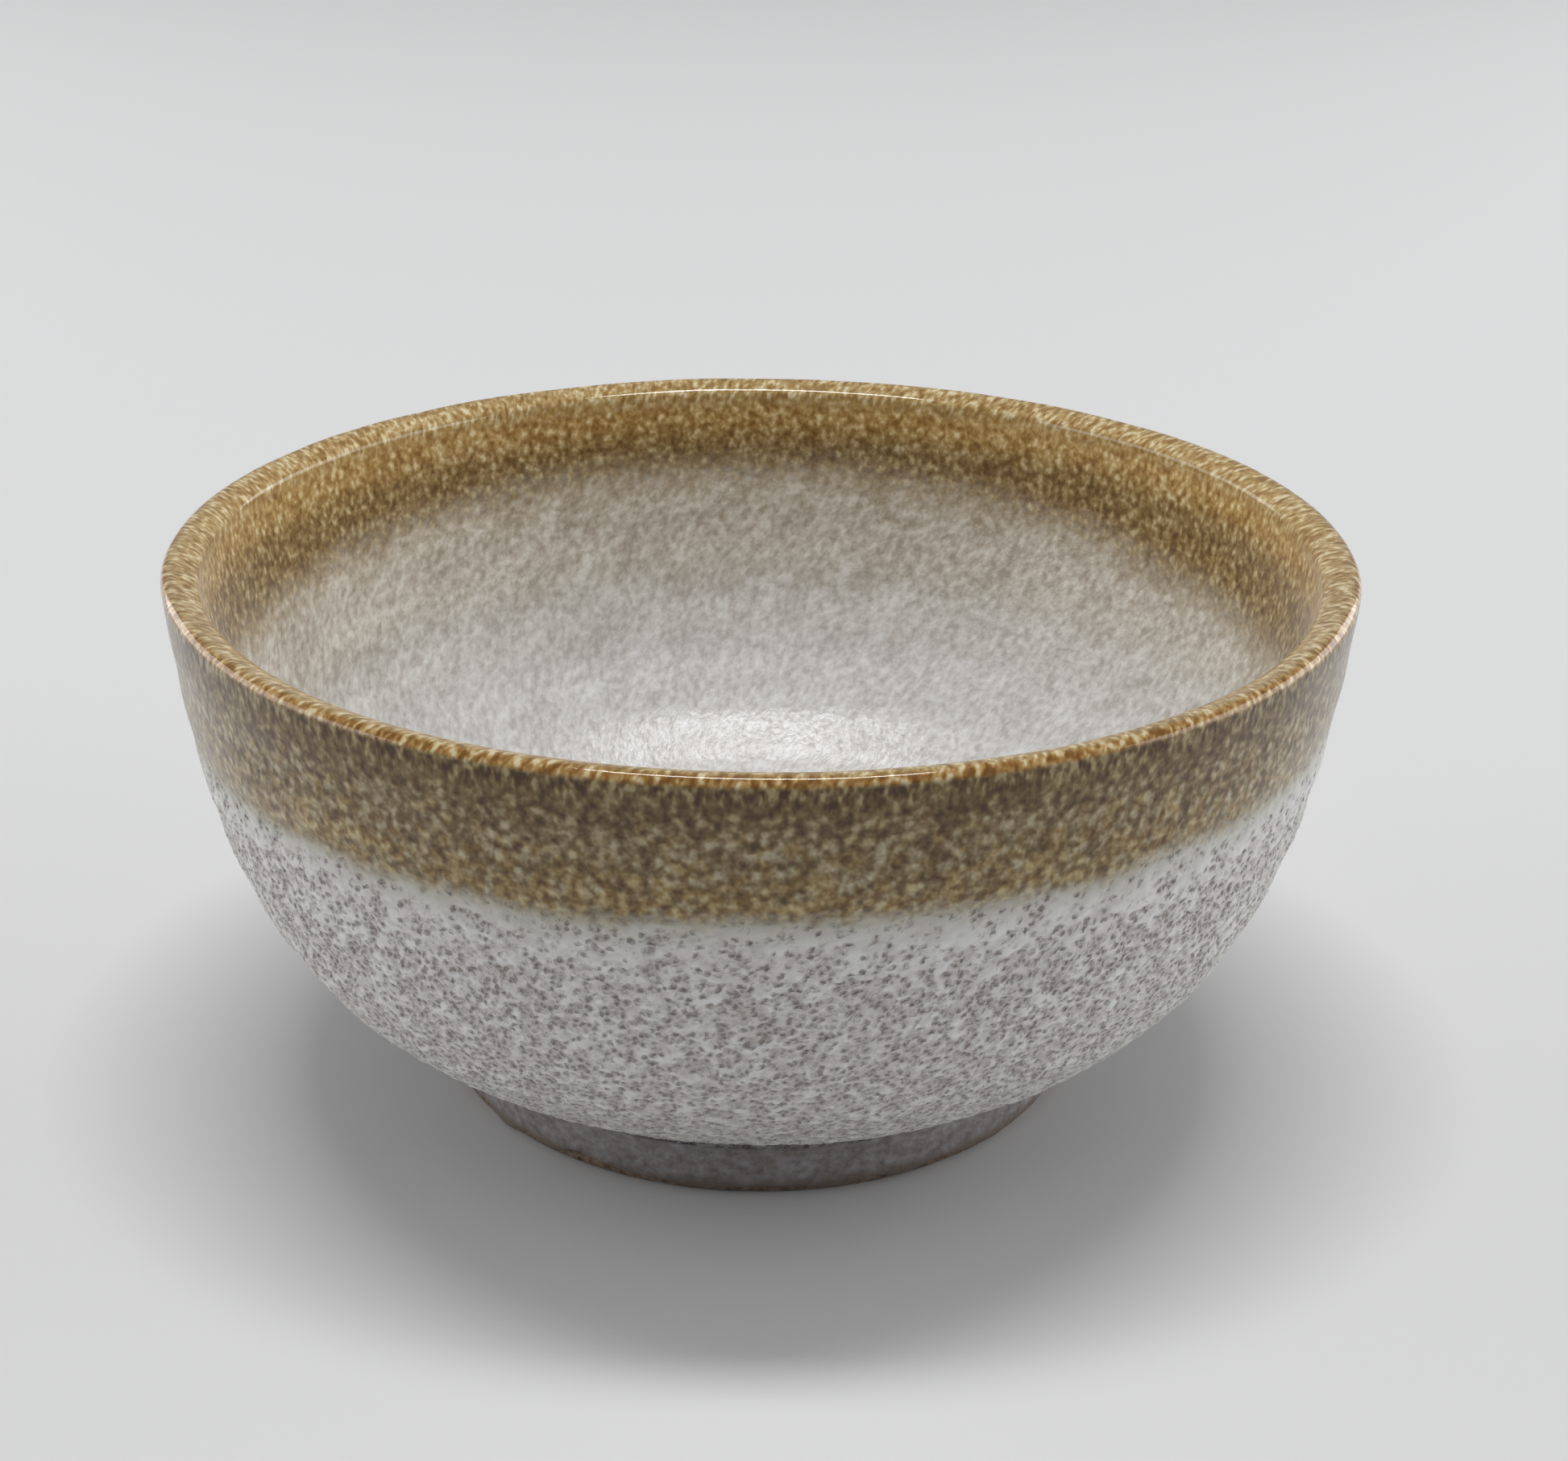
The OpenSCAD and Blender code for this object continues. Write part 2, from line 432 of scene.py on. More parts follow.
def rgb(red, green, blue):
    """A linear colour from screen values of 0 to 255."""
    return tuple((v / 255 / 12.92) if v / 255 <= 0.04045 else ((v / 255 + 0.055) / 1.055) ** 2.4
                 for v in (red, green, blue)) + (1.0,)


# ---------------------------------------------------------------------------
# Glaze fields. arc is the distance from the top of the lip, in millimetres,
# positive down the outside and negative down the inside.
# ---------------------------------------------------------------------------
BAND_EDGE_OUT = 15.2   # where the brown ends outside, at the middle
BAND_TILT = -0.024     # the dipped edge isn't quite level
BAND_EDGE_IN = 12.5    # where the brown fades inside, at the back
BAND_DIP = 0.0011      # how much lower it fades to the sides, per square millimetre
RING_PITCH = 8.2       # throwing rings, a spiral
NARROWEST = 32.0       # radius below which features stop shrinking towards the axis
PIT_CELLS = ((1.05, 0), (0.80, 40))   # spacing of the pits, and where each set starts

# Relief, in millimetres
UNEVEN = 0.34          # slow swelling of the whole wall
RING_HEIGHT = 0.075    # throwing rings
LUMP_HEIGHT = 0.52     # lumps between the pits
PIT_DEPTH = 0.07       # the pits' dark middles
HALO_DEPTH = 0.15      # the dips round them
SATIN_HEIGHT = 0.05    # the glaze's soft surface

# The same in the shading, on top of the mesh's relief
GRAIN_BUMP = 0.05
FLECK_BUMP = 0.10
SATIN_BUMP = 0.12
PIT_BUMP = 0.14
HALO_BUMP = 0.26
LIP_SHARE = 0.85       # how much of the lip's own look shows on the lip


class Glaze:
    """The fields that the glaze's colour, gloss and relief share."""

    def __init__(self, graph):
        self.g = g = graph
        self.p = g.attribute("rest", vector=True)
        self.arc = g.attribute("arc")
        self.x, self.y, self.z = g.parts(self.p)
        self.r = g.radius(self.x, self.y)
        self.flat = g.stretch(self.p, (1, 1, 1.45))

    def drawn(self, along, slant=0.0):
        """Coordinates that run round the bowl and down it. Features are stretched down the wall by 1 / along,
        they lean sideways by slant, and they shrink towards the foot as the bowl gets narrower."""
        g = self.g
        scale = g.math("DIVIDE", BOWL_D / 2, g.math("MAXIMUM", self.r, NARROWEST))
        turned_by = g.times(self.arc, slant / (BOWL_D / 2))
        x, y, _ = g.parts(g.twist(self.p, turned_by))
        return g.join(g.times(x, scale), g.times(y, scale), g.times(self.arc, along))

    def rings(self):
        """Throwing rings: a shallow spiral down the wall, stronger in places, which dies out at the axis."""
        g = self.g
        turn = g.add(g.times(self.arc, 2 * pi / RING_PITCH), g.math("ARCTAN2", self.y, self.x), 0.6)
        strength = g.smooth(g.noise(self.p, 30, 1.0), 0.3, 0.7, 0.5, 1.2)
        return g.times(g.math("SINE", turn), strength, g.smooth(self.r, 2, 12))

    def brown(self):
        """How much brown glaze lies on the wall, from 0 to 1, and how far above its outer edge a place is."""
        g = self.g
        wobble = g.add(g.times(g.swing(self.p, 14), 3.2), g.times(g.swing(self.flat, 1.3), 2.6))
        edge_out = g.add(BAND_EDGE_OUT, g.times(self.x, BAND_TILT), wobble)
        inset_out = g.math("SUBTRACT", edge_out, self.arc)
        dip = g.add(g.times(self.x, self.x, BAND_DIP), g.times(self.x, -BAND_TILT / 2))
        inset_in = g.add(self.arc, BAND_EDGE_IN, dip, wobble)
        amount_out = g.smooth(inset_out, -1.7, 1.1)
        amount_in = g.smooth(inset_in, -5.5, 3.0)
        inside_wall = g.smooth(self.arc, 0.5, -0.5)
        amount = g.add(g.times(amount_in, inside_wall), g.times(amount_out, g.invert(inside_wall)))
        return amount, inset_out

    def pits(self, brown):
        """Small crawled pits in the white glaze outside, the dips round them and the lumps between them."""
        g = self.g
        lump = g.noise(g.shift(self.drawn(1.1, 0.3), (31, 7, 3)), 2.1, 2.0, 0.5)
        ragged = g.noise(self.p, 0.9, output="Color")
        nudge = g.stretch(g.shift(ragged, (-0.5, -0.5, -0.5)), (1.1, 1.1, 1.1))
        place = g.shift(self.drawn(1.2, 0.3), nudge)
        rarer = g.add(g.smooth(self.arc, 15, 27, 0.58, 0.04), g.times(g.add(lump, -0.5), 1.3))
        dark = shade = 0.0
        for cell, seed in PIT_CELLS:
            distance, chance = g.cells(g.shift(place, (seed, seed, seed)), cell)
            present = g.smooth(g.math("SUBTRACT", chance, rarer), 0.0, 0.5)
            away = g.times(distance, cell)
            core = g.times(g.smooth(away, 0.04, 0.33, 1.0, 0.0), present)
            halo = g.times(g.smooth(away, 0.12, 0.62, 1.0, 0.0), present)
            dark = g.math("MAXIMUM", dark, core)
            shade = g.math("MAXIMUM", shade, halo)
        outside_only = g.times(g.smooth(self.arc, 2, 4), g.invert(brown))
        return g.times(dark, outside_only), g.times(shade, outside_only), lump

    def mottle(self):
        """Soft cloudy flecks in the white glaze inside."""
        return self.g.noise(self.g.shift(self.drawn(1.0, 0.35), (2, 44, 8)), 1.2, 2.5, 0.6)

    def speckle(self):
        """Light and dark flecks in the brown glaze, drawn out down the wall over the lip."""
        g = self.g
        over_lip = g.noise(self.drawn(0.55), 0.72, 1.5, 0.5)
        place = self.drawn(0.95)
        distance, _ = g.cells(g.shift(place, (8, 20, 71)), 1.3)
        blobs = g.smooth(distance, 0.10, 0.90, 0.70, 0.33)
        grains = g.noise(g.shift(place, (5, 60, 9)), 0.78, 1.5, 0.5)
        below_lip = g.add(g.times(blobs, 0.45), g.times(grains, 0.55))
        near_lip = g.smooth(g.math("ABSOLUTE", self.arc), 5, 2.0)
        return g.add(g.times(over_lip, near_lip), g.times(below_lip, g.invert(near_lip)))


def relief(glaze):
    """How far the glaze stands above its mean surface, in millimetres."""
    g = glaze.g
    brown, _ = glaze.brown()
    pit, halo, lump = glaze.pits(brown)
    off_lip = g.smooth(g.math("ABSOLUTE", glaze.arc), 3, 8, 0.25, 1.0)
    outside_wall = g.smooth(glaze.arc, 1, 5)
    slow = g.times(g.swing(glaze.p, 17, 1.0), UNEVEN)
    rings = g.times(glaze.rings(), RING_HEIGHT, off_lip)
    lumps = g.times(g.add(lump, -0.5), LUMP_HEIGHT, g.invert(brown), outside_wall)
    dips = g.add(g.times(pit, -PIT_DEPTH), g.times(halo, -HALO_DEPTH))
    satin = g.times(g.swing(glaze.p, 2.2), SATIN_HEIGHT, off_lip)
    return g.add(slow, rings, lumps, dips, satin)


def uneven(size, height):
    """A field that only swells slowly."""
    return lambda glaze: glaze.g.times(glaze.g.swing(glaze.p, size), height)


def grit(glaze):
    """Worn clay. It is always inward, so that the ring never stands below the table."""
    g = glaze.g
    return g.math("MINIMUM", g.times(g.add(g.noise(glaze.p, 1.1, 4.0, 0.6), -0.62), 0.22), 0.0)


def displace(piece, field):
    """Raises the piece's pushed points by the field's height. The result replaces the first mesh."""
    tree = bpy.data.node_groups.new(piece.name + "_relief", "GeometryNodeTree")
    tree.interface.new_socket("Geometry", in_out="INPUT", socket_type="NodeSocketGeometry")
    tree.interface.new_socket("Geometry", in_out="OUTPUT", socket_type="NodeSocketGeometry")
    graph = Graph(tree)
    start, end = graph.node("NodeGroupInput"), graph.node("NodeGroupOutput")
    move = graph.node("GeometryNodeSetPosition")
    height = field(Glaze(graph))
    offset = graph.node("ShaderNodeVectorMath", operation="SCALE")
    graph.put(graph.attribute("push", vector=True), offset.inputs[0])
    graph.put(graph.times(height, MM), offset.inputs["Scale"])
    graph.put(start.outputs[0], move.inputs["Geometry"])
    graph.put(offset.outputs[0], move.inputs["Offset"])
    graph.put(move.outputs[0], end.inputs[0])
    modifier = piece.modifiers.new("relief", "NODES")
    modifier.node_group = tree
    evaluated = piece.evaluated_get(bpy.context.evaluated_depsgraph_get())
    mesh = bpy.data.meshes.new_from_object(evaluated)
    piece.modifiers.clear()
    old = piece.data
    piece.data = mesh
    mesh.name = piece.name
    bpy.data.meshes.remove(old)
    bpy.data.node_groups.remove(tree)


# ---------------------------------------------------------------------------
# Materials
# ---------------------------------------------------------------------------
def material(name):
    """A material with a Principled shader and a graph to build it with."""
    made = bpy.data.materials.new(name)
    made.use_nodes = True
    shader = made.node_tree.nodes["Principled BSDF"]
    return made, shader, Graph(made.node_tree)


def bump(g, shader, height):
    """Fine relief in the shading: height is in millimetres."""
    made = g.node("ShaderNodeBump")
    made.inputs["Strength"].default_value = 1.0
    made.inputs["Distance"].default_value = MM
    g.put(height, made.inputs["Height"])
    g.put(made.outputs[0], shader.inputs["Normal"])


def foot_colour(g, p):
    """The thin wiped coat round the foot: dark grey mottling, browner towards its lower edge."""
    mottle = g.noise(g.stretch(p, (1, 1, 1.2)), 1.3, 4.0, 0.62)
    colour = g.ramp(mottle, [
        (0.34, rgb(118, 111, 108)), (0.48, rgb(138, 133, 131)),
        (0.58, rgb(150, 146, 146)), (0.70, rgb(166, 164, 165))])
    height = g.parts(p)[2]
    wiped = g.smooth(g.add(height, g.times(g.swing(p, 1.6, 3.0), 1.4)), 2.6, 1.0, 0.0, 0.85)
    return g.blend(wiped, colour, rgb(104, 90, 78)), mottle


def white_colour(glaze, pit, halo, lump):
    """Satin white outside: cool and thick on the lumps, thin and pinkish in the pits, and blending into the
    foot's grey coat over the belly's lowest 7 mm, which is partly where the coats meet and partly painted
    shade where the belly turns under.
    """
    g = glaze.g
    base = g.ramp(g.noise(glaze.flat, 1.3, 3.0, 0.6), [
        (0.30, rgb(196, 193, 188)), (0.50, rgb(212, 210, 207)), (0.70, rgb(227, 227, 225))])
    thick = g.blend(g.smooth(lump, 0.50, 0.70, 0.0, 0.45), base, rgb(232, 233, 232))
    thin = g.blend(g.smooth(lump, 0.52, 0.36, 0.0, 0.35), thick, rgb(196, 188, 182))
    hazed = g.blend(g.times(halo, 0.45), thin, rgb(172, 158, 151))
    clay = g.ramp(g.noise(glaze.p, 1.7, 2.0), [(0.35, rgb(116, 99, 91)), (0.65, rgb(146, 130, 122))])
    pitted = g.blend(g.times(pit, 0.66), hazed, clay)
    foot, _ = foot_colour(g, glaze.p)
    # Partly painted shade: the white turns to the foot's grey from 7 mm above the foot. That stands in for
    # the shade where the belly turns under, as well as for where the two coats meet.
    by_foot = g.add(glaze.z, g.times(g.swing(glaze.p, 2.4), 1.6))
    return g.blend(g.smooth(by_foot, FOOT_H + 7.0, FOOT_H + 0.5), pitted, foot)


def inside_colour(glaze):
    """Satin grey inside, mottled in taupe and white, paler towards the floor."""
    g = glaze.g
    deep = g.times(glaze.arc, -1)
    patches = g.swing(g.shift(glaze.drawn(0.8, 0.8), (9, 4, 60)), 5.5)
    cloud = g.add(glaze.mottle(), g.times(patches, 0.35))
    upper = g.ramp(cloud, [
        (0.30, rgb(170, 156, 133)), (0.50, rgb(203, 193, 174)), (0.70, rgb(234, 228, 214))])
    lower = g.ramp(cloud, [
        (0.30, rgb(202, 199, 195)), (0.50, rgb(226, 225, 223)), (0.70, rgb(244, 245, 245))])
    return g.blend(g.smooth(deep, 13, 42), upper, lower)


def brown_outside(glaze):
    """Brown over white outside: olive-brown with pale flecks, darkest under the lip, warmer at its edge."""
    g = glaze.g
    fleck = glaze.speckle()
    warmer_down = g.smooth(glaze.arc, 8.0, 14.0, -0.06, 0.08)
    tint = g.add(g.noise(g.shift(glaze.p, (17, 2, 50)), 1.6, 2.0), warmer_down)
    under_lip = g.ramp(fleck, [
        (0.35, rgb(66, 43, 14)), (0.46, rgb(96, 73, 36)), (0.55, rgb(122, 102, 64)),
        (0.66, rgb(162, 147, 108))])
    grey = g.ramp(fleck, [
        (0.34, rgb(78, 56, 26)), (0.46, rgb(114, 94, 60)), (0.55, rgb(144, 129, 98)),
        (0.67, rgb(182, 172, 146))])
    gold = g.ramp(fleck, [
        (0.34, rgb(88, 62, 22)), (0.46, rgb(128, 101, 54)), (0.55, rgb(156, 133, 86)),
        (0.67, rgb(188, 173, 132))])
    body = g.blend(g.smooth(tint, 0.40, 0.66), grey, gold)
    return g.blend(g.smooth(glaze.arc, 3.0, 9.0), under_lip, body)


def brown_inside(glaze):
    """Brown inside: golden by the lip, olive-brown lower down."""
    g = glaze.g
    fleck = glaze.speckle()
    gold = g.ramp(fleck, [
        (0.34, rgb(138, 98, 42)), (0.46, rgb(170, 133, 72)), (0.56, rgb(200, 167, 106)),
        (0.68, rgb(236, 216, 170))])
    olive = g.ramp(fleck, [
        (0.34, rgb(98, 70, 30)), (0.46, rgb(130, 102, 56)), (0.56, rgb(160, 134, 86)),
        (0.68, rgb(204, 186, 144))])
    return g.blend(g.smooth(glaze.arc, -5.5, -10.5), gold, olive)


def lip_colour(glaze):
    """Where the glaze breaks over the lip: amber on the outer shoulder, pale flecks drawn across the top."""
    g = glaze.g
    streak = g.add(g.times(g.noise(glaze.drawn(0.55, 0.3), 0.66, 1.5, 0.5), 0.6),
                   g.times(g.noise(g.shift(glaze.drawn(0.9), (3, 3, 12)), 0.85, 2.0), 0.4))
    amber = g.ramp(streak, [
        (0.38, rgb(126, 84, 34)), (0.47, rgb(160, 116, 58)), (0.55, rgb(196, 160, 102)),
        (0.62, rgb(230, 214, 172))])
    cream = g.ramp(streak, [
        (0.38, rgb(140, 107, 58)), (0.47, rgb(172, 141, 88)), (0.55, rgb(200, 175, 126)),
        (0.62, rgb(234, 220, 182))])
    on_shoulder = g.times(g.smooth(glaze.arc, 0.1, 0.7), g.smooth(glaze.arc, 1.9, 1.2))
    return g.blend(on_shoulder, cream, amber)


def bowl_glaze(name, roughness):
    """The wall's glaze. All of the wall's pieces use the same fields, so that the coats run together."""
    made, shader, g = material(name)
    glaze = Glaze(g)
    brown, inset_out = glaze.brown()
    pit, halo, lump = glaze.pits(brown)
    is_inside = g.smooth(glaze.arc, 0.2, -0.8)
    white = white_colour(glaze, pit, halo, lump)
    outer = g.blend(g.smooth(inset_out, -4.2, 0.2, 0.0, 0.60), white, rgb(168, 165, 143))
    pale = g.blend(is_inside, outer, inside_colour(glaze))
    dark = g.blend(is_inside, brown_outside(glaze), brown_inside(glaze))
    wall = g.blend(brown, pale, dark)
    on_lip = g.times(g.smooth(glaze.arc, 1.8, 1.1), g.smooth(glaze.arc, -5.4, -2.8))
    lip_share = g.times(on_lip, LIP_SHARE)
    g.put(g.blend(lip_share, wall, lip_colour(glaze)), shader.inputs["Base Color"])
    matte = g.add(roughness, g.times(pit, 0.25), g.times(g.swing(glaze.p, 3.0), 0.16))
    glossy = g.smooth(on_lip, 0.0, 1.0, 0.24, 0.08)
    rough = g.add(g.times(matte, g.invert(brown)), g.times(glossy, brown))
    g.put(rough, shader.inputs["Roughness"])
    off_lip = g.invert(lip_share)
    grain = g.times(g.swing(glaze.p, 0.8, 1.5), GRAIN_BUMP, off_lip)
    flecks = g.times(g.add(glaze.speckle(), -0.5), FLECK_BUMP, brown, off_lip)
    satin = g.times(glaze.mottle(), SATIN_BUMP, is_inside, g.invert(brown))
    dips = g.add(g.times(pit, -PIT_BUMP), g.times(halo, -HALO_BUMP))
    bump(g, shader, g.add(grain, flecks, satin, dips))
    shader.inputs["IOR"].default_value = 1.47
    shader.inputs["Sheen Weight"].default_value = 0.25
    shader.inputs["Sheen Roughness"].default_value = 0.35
    return made


def foot_glaze_material():
    """Thin wiped coat round the foot."""
    made, shader, g = material("foot_glaze")
    p = g.attribute("rest", vector=True)
    colour, mottle = foot_colour(g, p)
    g.put(colour, shader.inputs["Base Color"])
    g.put(g.smooth(mottle, 0.3, 0.7, 0.60, 0.42), shader.inputs["Roughness"])
    bump(g, shader, g.times(g.noise(p, 0.9, 3.0, 0.6), 0.07))
    return made


def recess_glaze_material():
    """The coat under the bowl: smooth grey-white, with tool marks showing through."""
    made, shader, g = material("recess_glaze")
    p = g.attribute("rest", vector=True)
    x, y, _ = g.parts(p)
    mottle = g.noise(p, 2.6, 4.0, 0.6)
    colour = g.ramp(mottle, [
        (0.34, rgb(150, 144, 137)), (0.50, rgb(172, 169, 164)), (0.66, rgb(190, 189, 186))])
    tool_pitch = 3.1
    spiral = g.math("SINE", g.add(g.times(g.radius(x, y), 2 * pi / tool_pitch), g.math("ARCTAN2", y, x)))
    shade = g.smooth(spiral, -1.0, 1.0, 0.0, 0.22)
    g.put(g.blend(shade, colour, rgb(140, 130, 120)), shader.inputs["Base Color"])
    g.put(g.smooth(mottle, 0.3, 0.7, 0.46, 0.34), shader.inputs["Roughness"])
    bump(g, shader, g.add(g.times(spiral, 0.05), g.times(g.noise(p, 1.2, 2.0), 0.06)))
    return made


def clay_material(name):
    """Bare fired stoneware: warm grey-brown, with grog and iron specks."""
    made, shader, g = material(name)
    texture = g.node("ShaderNodeTexCoord")
    p = g.stretch(texture.outputs["Object"], (1 / MM,) * 3)
    grain = g.noise(p, 0.8, 4.0, 0.65)
    colour = g.ramp(grain, [
        (0.34, rgb(92, 74, 60)), (0.50, rgb(118, 99, 83)), (0.66, rgb(140, 122, 105))])
    distance, chance = g.cells(p, 2.1)
    speck = g.times(g.smooth(distance, 0.10, 0.20, 1.0, 0.0), g.smooth(chance, 0.4, 0.6))
    g.put(g.blend(speck, colour, rgb(58, 42, 32)), shader.inputs["Base Color"])
    g.put(g.smooth(grain, 0.3, 0.7, 0.92, 0.74), shader.inputs["Roughness"])
    bump(g, shader, g.add(g.times(grain, 0.16), g.times(speck, 0.05)))
    return made


# ---------------------------------------------------------------------------
# Pieces
# ---------------------------------------------------------------------------
def front(rows, path, start, end, spacing, sign, sharp=()):
    """The glaze's visible side between two places along a path. sign is 1 outside and -1 inside."""
    s = spaced(start, end, spacing)
    rows.add(path.at(s), path.facing(s), sign * s, sharp=sharp)


def back(rows, path, start, end, deep, sign):
    """The hidden side, deep below the visible one."""
    s = spaced(start, end, COARSE)
    rows.add(path.below(s, deep), None, sign * s)


def outer_white():
    """The white coat outside. It ends in a flat face on the foot's coat."""
    rows = Rows()
    front(rows, OUTER, BAND_OUT_S, OUTER.length, FINE, 1, sharp=(0, -1))
    foot_r = FOOT_D / 2
    rows.add([foot_r - FOOT_COAT_T, OUTER.points[-1][1]], None, OUTER.length)
    rows.add(CLAY_CORNER, None, OUTER.length)
    back(rows, OUTER, OUTER.length - CORNER_SKIP, 0, COAT_T, 1)
    back(rows, OUTER, 0, BAND_OUT_S, BROWN_T, 1)
    return turned("outer_white_coat", rows, relief)


def inner_white():
    """The white coat inside, to the middle of the floor."""
    rows = Rows()
    front(rows, INNER, BAND_IN_S, INNER.length, SMOOTH, -1, sharp=(0,))
    back(rows, INNER, INNER.length, 0, COAT_T, -1)
    back(rows, INNER, 0, BAND_IN_S, BROWN_T, -1)
    return turned("inner_white_coat", rows, relief)


def rim_brown():
    """The brown coat over the lip, on top of both white ones."""
    rows = Rows()
    front(rows, INNER, BAND_IN_S, LIP_IN_S + LIP_IN_ROW, FINE, -1, sharp=(0,))
    front(rows, INNER, LIP_IN_S, LIP_IN_ROW / 2, LIP_IN_ROW, -1)
    front(rows, OUTER, 0, LIP_OUT_S, LIP_OUT_ROW, 1)
    front(rows, OUTER, LIP_OUT_S + 2 * LIP_OUT_ROW, BAND_OUT_S, FINE, 1, sharp=(-1,))
    back(rows, OUTER, BAND_OUT_S, 0, BROWN_T, 1)
    back(rows, INNER, BACK_IN_S, BAND_IN_S, BROWN_T, -1)
    return turned("rim_brown_coat", rows, relief)


def foot_coat():
    """The thin coat round the foot, with a wavy wiped edge that rounds into the clay."""
    foot_r = FOOT_D / 2
    top = OUTER.points[-1][1]
    low = BARE_EDGE + FOOT_COAT_T
    rows = Rows()
    heights = spaced(top, low, SMOOTH / 2)
    share = (top - heights) / (top - low)
    for z, part in zip(heights, share):
        rows.add([foot_r, z], [1, 0], OUTER.length + top - z, part)
    for angle in (30, 60, 90):
        place = [foot_r - FOOT_COAT_T * (1 - cos(radians(angle))), low - FOOT_COAT_T * sin(radians(angle))]
        rows.add(place, None, OUTER.length + top - low, 1.0)
    rows.add([foot_r - FOOT_COAT_T, top], None, OUTER.length)
    return turned("foot_coat", rows, uneven(5, 0.12), edge_wave=0.45)


def recess_coat():
    """The coat in the hollow under the bowl, pooled in the corner."""
    outer_r = FOOT_D / 2 - FOOT_W
    skin_r = outer_r - FOOT_COAT_T
    low = BARE_EDGE + FOOT_COAT_T
    pool_at = np.array([skin_r - POOL_R, RECESS_H - POOL_R])
    rows = Rows()
    for r in spaced(0, pool_at[0], SMOOTH * 2):
        rows.add([r, RECESS_H], [0, -1])
    for angle in (75, 60, 45, 30, 15, 0):
        toward = polar(angle)
        rows.add(pool_at + POOL_R * toward, -toward)
    side_step = 0.4
    for z in spaced(pool_at[1] - side_step, low, side_step):
        rows.add([skin_r, z], [-1, 0], 0.0, (pool_at[1] - z) / (pool_at[1] - low))
    for angle in (45, 90):
        place = [skin_r + FOOT_COAT_T * (1 - cos(radians(angle))), low - FOOT_COAT_T * sin(radians(angle))]
        rows.add(place, None, 0.0, 1.0)
    rows.add([outer_r, RECESS_H + FOOT_COAT_T])
    rows.add([0, RECESS_H + FOOT_COAT_T])
    return turned("recess_coat", rows, uneven(6, 0.14), edge_wave=0.4)


def foot_clay():
    """The turned clay ring, slightly worn and gritty where it stands."""
    inner_r, outer_r = FOOT_D / 2 - FOOT_W, FOOT_D / 2 - FOOT_COAT_T
    low_in = np.array([inner_r + FOOT_ROUND, FOOT_ROUND])
    low_out = np.array([outer_r - FOOT_ROUND, FOOT_ROUND])
    rows = Rows()
    above_round = FOOT_ROUND + 0.3
    for z in spaced(RECESS_H, above_round, CLAY_ROW):
        rows.add([inner_r, z], [-1, 0])
    for angle in (180, 200, 220, 240, 260):
        rows.add(low_in + FOOT_ROUND * polar(angle), polar(angle))
    for r in spaced(low_in[0], low_out[0], STANDING_ROW):
        rows.add([r, 0], [0, -1])
    for angle in (280, 300, 320, 340, 360):
        rows.add(low_out + FOOT_ROUND * polar(angle), polar(angle))
    for z in spaced(above_round, FOOT_H, CLAY_ROW):
        rows.add([outer_r, z], [1, 0])
    rows.add(CLAY_CORNER)
    rows.add([inner_r, RECESS_H + FOOT_COAT_T])
    return turned("foot_clay", rows, grit)


def build_bowl():
    made = [
        (outer_white(), "outer_white_glaze", "outer_white", bowl_glaze("outer_white", roughness=0.38)),
        (inner_white(), "inner_white_glaze", "inner_white", bowl_glaze("inner_white", roughness=0.30)),
        (rim_brown(), "rim_brown_glaze", "rim_brown", bowl_glaze("rim_brown", roughness=0.38)),
        (foot_coat(), "foot_glaze", "foot_skin", foot_glaze_material()),
        (recess_coat(), "recess_glaze", "recess_skin", recess_glaze_material()),
        (foot_clay(), "foot_ring", "clay_foot", clay_material("foot_clay")),
    ]
    for piece, node, slot, look in made:
        piece.data.materials.clear()
        piece.data.materials.append(look)
        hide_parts(node)
        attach(piece, "root")
    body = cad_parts["stoneware_body"]
    body.data.materials.clear()
    body.data.materials.append(clay_material("stoneware_body"))


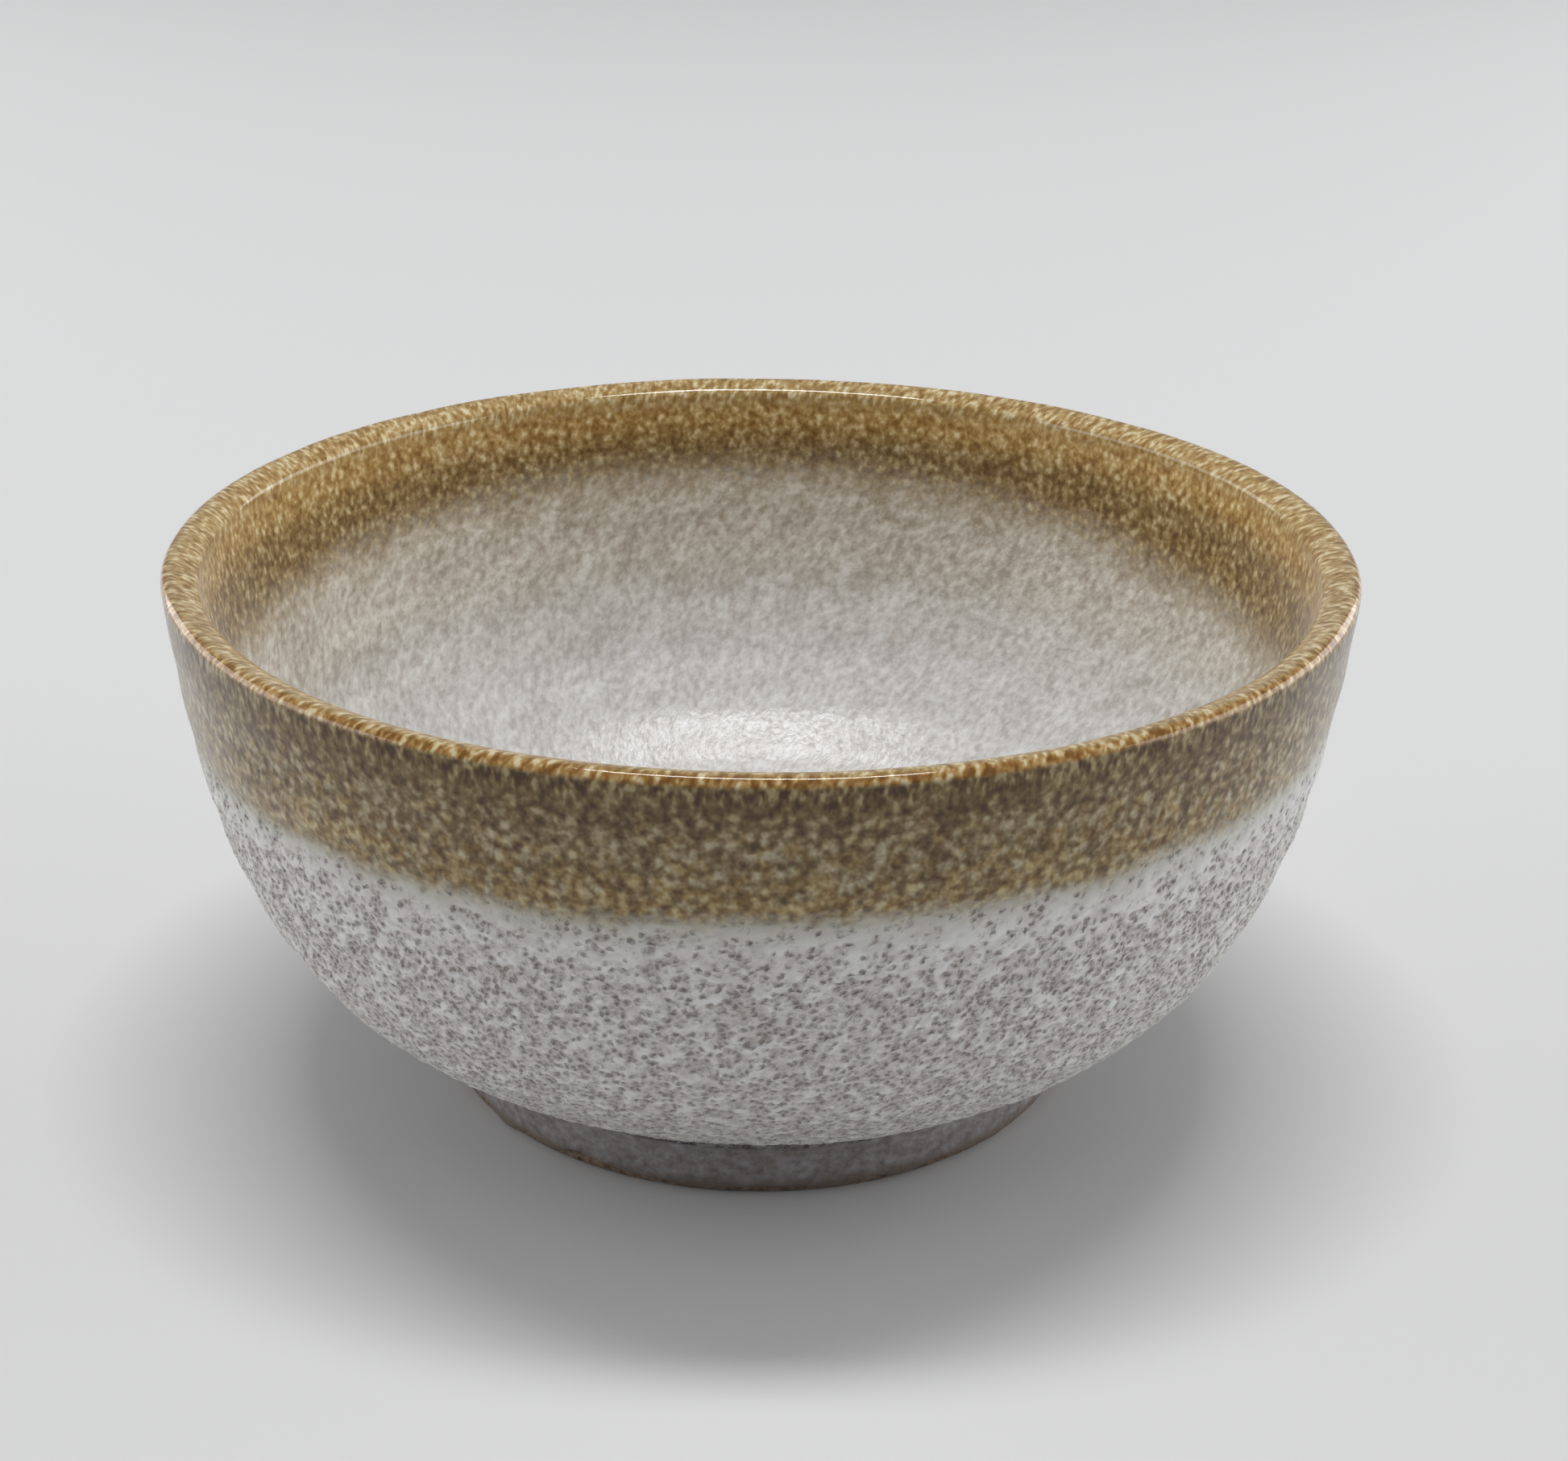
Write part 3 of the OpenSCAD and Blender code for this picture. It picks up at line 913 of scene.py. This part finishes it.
# ---------------------------------------------------------------------------
# Stage, light and camera
# ---------------------------------------------------------------------------
def floor():
    """A plain pale floor that fills the photo's view."""
    reach, grey = 6.0, 0.73
    mesh = bpy.data.meshes.new("floor")
    corners = [(x * reach, y * reach, 0) for x, y in ((-1, -1), (1, -1), (1, 1), (-1, 1))]
    mesh.from_pydata(corners, [], [(0, 1, 2, 3)])
    made = bpy.data.objects.new("floor", mesh)
    bpy.context.scene.collection.objects.link(made)
    look = bpy.data.materials.new("floor")
    look.use_nodes = True
    shader = look.node_tree.nodes["Principled BSDF"]
    shader.inputs["Base Color"].default_value = (grey, grey, grey, 1)
    shader.inputs["Roughness"].default_value = 0.75
    mesh.materials.append(look)


def area_light(name, place, target, width, depth, power):
    light = bpy.data.lights.new(name, "AREA")
    light.shape = "RECTANGLE"
    light.size, light.size_y = width, depth
    light.energy = power
    made = bpy.data.objects.new(name, light)
    made.location = place
    made.rotation_euler = (Vector(target) - Vector(place)).to_track_quat("-Z", "Y").to_euler()
    bpy.context.scene.collection.objects.link(made)


def lights():
    """A narrow strip high overhead, and a wide panel low on each side, like the walls of a light tent."""
    area_light("overhead", (0.0, 0.06, 2.4), (0, 0, 0), width=1.36, depth=0.30, power=31.0)
    area_light("left", (-1.2, 0.30, 0.32), (0, 0, 0.03), width=1.9, depth=0.60, power=8.8)
    area_light("right", (1.2, 0.30, 0.32), (0, 0, 0.03), width=1.9, depth=0.60, power=9.8)
    world = bpy.data.worlds.new("studio")
    world.use_nodes = True
    background = world.node_tree.nodes["Background"]
    background.inputs["Color"].default_value = (0.95, 0.97, 1.0, 1)
    background.inputs["Strength"].default_value = 0.25
    bpy.context.scene.world = world


def camera():
    """A moderate telephoto view from the front and above, with a slight yaw and roll."""
    distance, height = 0.25414, 0.14970
    pitch, yaw, roll = radians(23.693), radians(0.60), radians(0.67)
    forward = Vector((sin(yaw) * cos(pitch), cos(yaw) * cos(pitch), -sin(pitch)))
    level = Vector((cos(yaw), -sin(yaw), 0))
    upward = level.cross(forward)
    right = level * cos(roll) + upward * sin(roll)
    up = upward * cos(roll) - level * sin(roll)
    data = bpy.data.cameras.new("camera")
    data.lens, data.sensor_width = 55.5, 36
    data.clip_start = 0.01
    made = bpy.data.objects.new("camera", data)
    turn = Matrix((right, up, -forward)).transposed().to_4x4()
    made.matrix_world = Matrix.Translation((0, -distance, height)) @ turn
    bpy.context.scene.collection.objects.link(made)
    bpy.context.scene.camera = made


bpy.context.scene.view_settings.view_transform = "Standard"
camera()
build_bowl()
floor()
lights()
